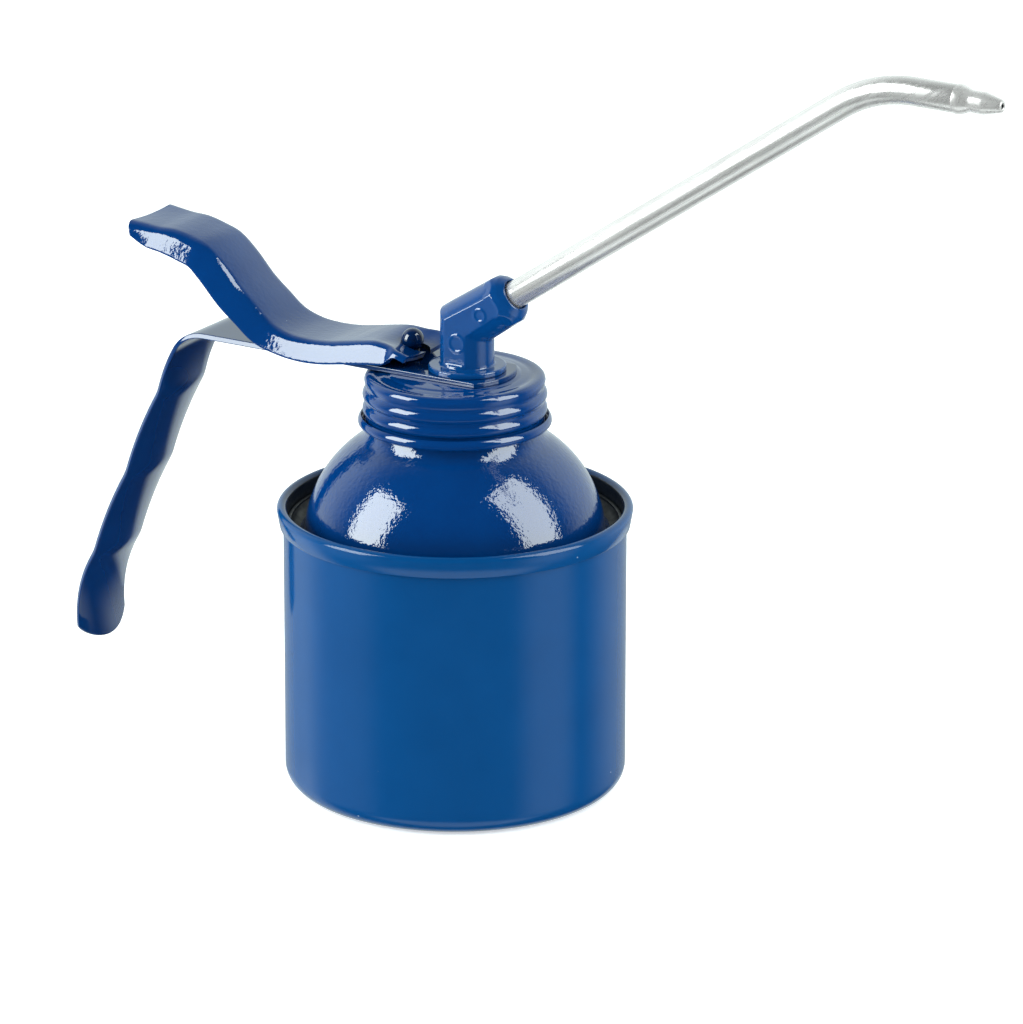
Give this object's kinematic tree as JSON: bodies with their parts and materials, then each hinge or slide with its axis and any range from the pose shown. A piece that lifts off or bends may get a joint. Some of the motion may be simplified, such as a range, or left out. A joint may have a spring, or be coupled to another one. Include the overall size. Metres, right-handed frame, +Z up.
{
  "type": "pump oil can",
  "caption": "Thumb-pump oil can: steel can with domed top and drip moat, screw cap carrying a plunger pump, rocking thumb lever, wavy strap handle and rigid bent spout.",
  "frame": {"origin": "centre of the can's base, on the surface it stands on", "axes": "+Z up along the can's axis, +X towards the spout, -X towards the handle strap"},
  "size_m": [0.2269, 0.0778, 0.1745],
  "materials": {
    "can_paint": "satin-gloss blue paint on sheet steel",
    "dome_paint": "deep glossy blue paint on sheet steel",
    "cap_paint": "deep glossy blue paint on pressed steel",
    "strap_paint": "deep blue paint on strip steel, worn along its edge",
    "lever_paint": "glossy blue paint on pressed steel, worn along its flanges",
    "head_paint": "glossy blue paint on die-cast zinc",
    "plunger_finish": "dark blue gloss on the ball, plain steel rod",
    "seam_seal": "black sealing compound",
    "rubber": "black nitrile rubber",
    "gasket_fibre": "brown gasket fibre",
    "spring_steel": "bright spring steel",
    "plain_steel": "plain turned steel",
    "ball_steel": "polished bearing steel",
    "tube_steel": "drawn steel",
    "diecast_zinc": "bare die-cast zinc",
    "brass": "turned brass",
    "spout_steel": "bright drawn steel, lightly satin",
    "nozzle_plating": "polished nickel plate"
  },
  "bodies": {
    "can": {"can_body": "can_paint", "dome": "dome_paint", "seam_seal": "seam_seal"},
    "gasket_ring": {"cap_gasket": "rubber"},
    "pump_unit": {"screw_cap": "cap_paint", "body_gasket": "gasket_fibre", "handle_strap": "strap_paint", "pump_body": "diecast_zinc", "rod_seal": "rubber", "foot_valve_body": "brass", "ball_retainer": "brass", "suction_tube": "tube_steel", "strainer": "brass", "pump_head": "head_paint", "spout_seal": "rubber", "spout_tube": "spout_steel", "nozzle_tip": "nozzle_plating"},
    "lever": {"thumb_lever": "lever_paint"},
    "plunger": {"plunger_rod": "plunger_finish", "piston": "brass", "piston_cup": "rubber", "cup_washer": "plain_steel", "piston_nut": "plain_steel", "piston_spring": "spring_steel"},
    "suction_ball": {"suction_valve_ball": "ball_steel"},
    "outlet_ball": {"outlet_valve_ball": "ball_steel", "outlet_spring": "spring_steel"}
  },
  "joints": [
    {"name": "cap_lift", "type": "slide", "parent": "can", "child": "gasket_ring", "axis": [0, 0, 1], "range_m": [0, 0.0096]},
    {"name": "cap_turn", "type": "hinge", "parent": "gasket_ring", "child": "pump_unit", "pos_m": [0, 0, 0.09], "axis": [0, 0, 1], "range_deg": [0, 1080]},
    {"name": "lever_rock", "type": "hinge", "parent": "pump_unit", "child": "lever", "pos_m": [-0.034, 0, 0.09494], "axis": [0, -1, 0], "range_deg": [0, 16]},
    {"name": "plunger_slide", "type": "slide", "parent": "pump_unit", "child": "plunger", "axis": [0, 0, 1], "range_m": [0, 0.00648], "stiffness_N_per_m": 120, "springref_m": -0.006, "deforming": ["piston_spring"]},
    {"name": "suction_ball_lift", "type": "slide", "parent": "pump_unit", "child": "suction_ball", "axis": [0, 0, 1], "range_m": [0, 0.001]},
    {"name": "outlet_ball_lift", "type": "slide", "parent": "pump_unit", "child": "outlet_ball", "axis": [0, 0, 1], "range_m": [0, 0.001], "stiffness_N_per_m": 50, "springref_m": -0.002, "deforming": ["outlet_spring"]}
  ],
  "couplings": [
    {"joint": "cap_turn", "follows": "cap_lift", "rad_per_m": 1963.5},
    {"joint": "lever_rock", "follows": "plunger_slide", "rad_per_m": 43.103}
  ]
}
